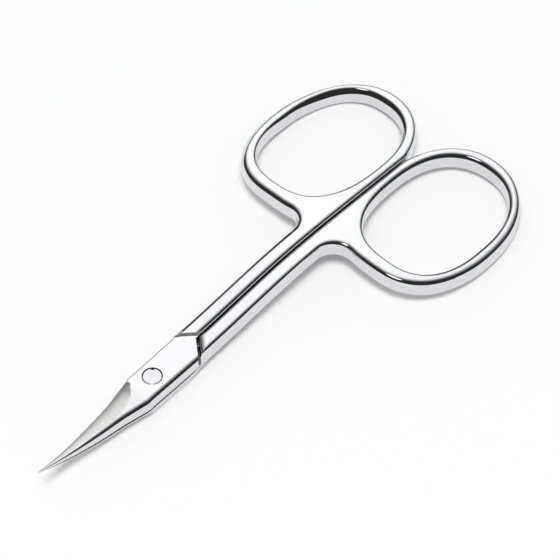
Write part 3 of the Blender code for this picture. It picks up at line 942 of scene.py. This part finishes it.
def steel(name, colour, roughness, grain, stretch, depth, stain=STAIN, metallic=1.0):
    """Steel with a faint cloud in its colour, whose grain roughens it and cuts into it."""
    material, tree = new_material(name)
    shader = tree.nodes["Principled BSDF"]
    shader.inputs["Metallic"].default_value = metallic

    cloud = mapped_noise(tree, (1.0, 1.0, 1.0), CLOUD_SCALE, CLOUD_DETAIL)
    tint = node(tree, "ShaderNodeMix", data_type="RGBA")
    tint.inputs["A"].default_value = (*[value * (1 - stain) for value in colour], 1.0)
    tint.inputs["B"].default_value = (*colour, 1.0)
    tree.links.new(ranged(tree, cloud, 0.0, 1.0), tint.inputs["Factor"])
    tree.links.new(tint.outputs["Result"], shader.inputs["Base Color"])

    lines = mapped_noise(tree, stretch, grain, GRAIN_DETAIL)
    rough = calculated(tree, "MULTIPLY", ranged(tree, lines, *roughness), ranged(tree, cloud, *CLOUD_HAZE))
    tree.links.new(rough, shader.inputs["Roughness"])

    bump = node(tree, "ShaderNodeBump")
    bump.inputs["Distance"].default_value = depth
    bump.inputs["Strength"].default_value = 1.0
    tree.links.new(lines, bump.inputs["Height"])
    tree.links.new(bump.outputs["Normal"], shader.inputs["Normal"])
    return material


# Studio
def camera_axes():
    right = Vector((math.cos(CAMERA_TURN), math.sin(CAMERA_TURN), 0.0))
    back = Vector((math.sin(CAMERA_TURN) * math.cos(CAMERA_TILT),
                   -math.cos(CAMERA_TURN) * math.cos(CAMERA_TILT), math.sin(CAMERA_TILT)))
    return right, back.cross(right), back


def make_camera():
    right, up, back = camera_axes()
    data = bpy.data.cameras.new("camera")
    data.lens = LENS
    data.sensor_width = SENSOR
    data.clip_start = CLIP_START
    camera = bpy.data.objects.new("camera", data)
    bpy.context.scene.collection.objects.link(camera)
    turn = Matrix((right, up, back)).transposed().to_4x4()
    camera.matrix_world = Matrix.Translation(Vector(CAMERA_TARGET) + back * CAMERA_DISTANCE) @ turn
    bpy.context.scene.camera = camera


def seen_rays(tree):
    """1 for camera, glossy and transmission rays, else 0."""
    rays = node(tree, "ShaderNodeLightPath").outputs
    seen = calculated(tree, "MAXIMUM", rays["Is Camera Ray"], rays["Is Glossy Ray"])
    return calculated(tree, "MAXIMUM", seen, rays["Is Transmission Ray"])


def make_world():
    world = bpy.data.worlds.new("studio")
    world.use_nodes = True
    bpy.context.scene.world = world
    tree = world.node_tree
    background = tree.nodes["Background"]
    background.inputs["Color"].default_value = WORLD_COLOUR
    strength = ranged(tree, seen_rays(tree), WORLD_STRENGTH, 1.0, 0.0, 1.0)
    tree.links.new(strength, background.inputs["Strength"])


def make_floor():
    work = bmesh.new()
    bmesh.ops.create_grid(work, x_segments=FLOOR_SEGMENTS, y_segments=FLOOR_SEGMENTS, size=FLOOR_HALF)
    floor = mesh_object("floor", finished_mesh("floor", work))
    material, tree = new_material("floor")
    shader = tree.nodes["Principled BSDF"]
    shader.inputs["Base Color"].default_value = FLOOR_COLOUR
    shader.inputs["Roughness"].default_value = FLOOR_ROUGHNESS
    shader.inputs["Specular IOR Level"].default_value = 0.0
    glow = node(tree, "ShaderNodeEmission")
    tree.links.new(calculated(tree, "MULTIPLY", seen_rays(tree), FLOOR_GLOW), glow.inputs["Strength"])
    both = node(tree, "ShaderNodeAddShader")
    tree.links.new(shader.outputs[0], both.inputs[0])
    tree.links.new(glow.outputs[0], both.inputs[1])
    tree.links.new(both.outputs[0], tree.nodes["Material Output"].inputs["Surface"])
    material.cycles.emission_sampling = "NONE"
    floor.data.materials.append(material)
    return floor


def direction(tilt, turn=0.0):
    """Unit vector away from the camera, turned about Z and raised by the given angles."""
    _, _, back = camera_axes()
    away = -Vector((back.x, back.y, 0.0)).normalized()
    away.rotate(Matrix.Rotation(turn, 3, "Z"))
    return away * math.cos(tilt) + Vector((0, 0, math.sin(tilt)))


def make_dome():
    """What the steel reflects: a soft light opposite the camera, a dark horizon and a small bright spot."""
    work = bmesh.new()
    bmesh.ops.create_uvsphere(work, u_segments=DOME_SEGMENTS[0], v_segments=DOME_SEGMENTS[1],
                               radius=DOME_RADIUS)
    low = [face for face in work.faces if face.calc_center_median().z < 0]
    bmesh.ops.delete(work, geom=low, context="FACES")
    bmesh.ops.reverse_faces(work, faces=work.faces)
    dome = mesh_object("dome", finished_mesh("dome", work))
    dome.data.shade_smooth()
    dome.visible_camera = False
    dome.visible_diffuse = False
    dome.visible_shadow = False

    material, tree = new_material("dome")
    tree.nodes.remove(tree.nodes["Principled BSDF"])
    place = node(tree, "ShaderNodeTexCoord")
    way = worked_out(tree, "ShaderNodeVectorMath", "NORMALIZE", [place.outputs["Object"]], "Vector")
    parts = node(tree, "ShaderNodeSeparateXYZ")
    tree.links.new(way, parts.inputs[0])
    height = calculated(tree, "DEGREES", calculated(tree, "ARCSINE", parts.outputs["Z"]))
    horizon = ranged(tree, height, 0.0, 1.0, *HORIZON_DARK, "SMOOTHSTEP")
    towards = ranged(tree, dot(tree, way, direction(DOME_LIGHT_TILT)), 0.0, 1.0, DOME_LIGHT_FROM, 1.0)
    light = calculated(tree, "MULTIPLY", calculated(tree, "POWER", towards, DOME_LIGHT_POWER), horizon)
    strength = calculated(tree, "MULTIPLY_ADD", light, DOME_BRIGHT, DOME_DARK)
    start, end = (math.cos(angle) for angle in GLINT_ANGLE)
    near = dot(tree, way, direction(GLINT_TILT, GLINT_TURN))
    glint = ranged(tree, near, 0.0, GLINT_BRIGHT, start, end, "SMOOTHSTEP")
    glow = node(tree, "ShaderNodeEmission")
    tree.links.new(calculated(tree, "ADD", strength, glint), glow.inputs["Strength"])
    tree.links.new(glow.outputs[0], tree.nodes["Material Output"].inputs["Surface"])
    material.cycles.emission_sampling = "NONE"
    dome.data.materials.append(material)
    return dome


def make_softbox():
    data = bpy.data.lights.new("softbox", "AREA")
    data.shape = "SQUARE"
    data.size = SOFTBOX_SIZE
    data.energy = SOFTBOX_POWER
    lamp = bpy.data.objects.new("softbox", data)
    way = direction(SOFTBOX_TILT)
    lamp.location = Vector(CAMERA_TARGET) + way * SOFTBOX_DISTANCE
    lamp.rotation_euler = way.to_track_quat("Z", "Y").to_euler()
    lamp.visible_glossy = False
    bpy.context.scene.collection.objects.link(lamp)


def main():
    make_camera()
    make_world()
    make_floor()
    make_dome()
    make_softbox()
    bpy.context.scene.view_settings.view_transform = "Standard"

    steels = {name: steel(f"{name}_steel_fine", **values) for name, values in STEELS.items()}
    for name, side in (("upper", -1), ("lower", 1)):
        half = make_half(f"{name}_half_fine", side)
        for finish in HALF_STEELS:
            half.data.materials.append(steels[finish])
        shade(half)
        finish_faces(half, side)
        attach(half, name)
        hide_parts(f"{name}_half")
    screw = make_screw()
    screw.name = "pivot_screw_fine"
    screw.data.materials.append(steels["screw"])
    shade(screw)
    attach(screw, "lower")
    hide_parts("pivot_screw")


main()
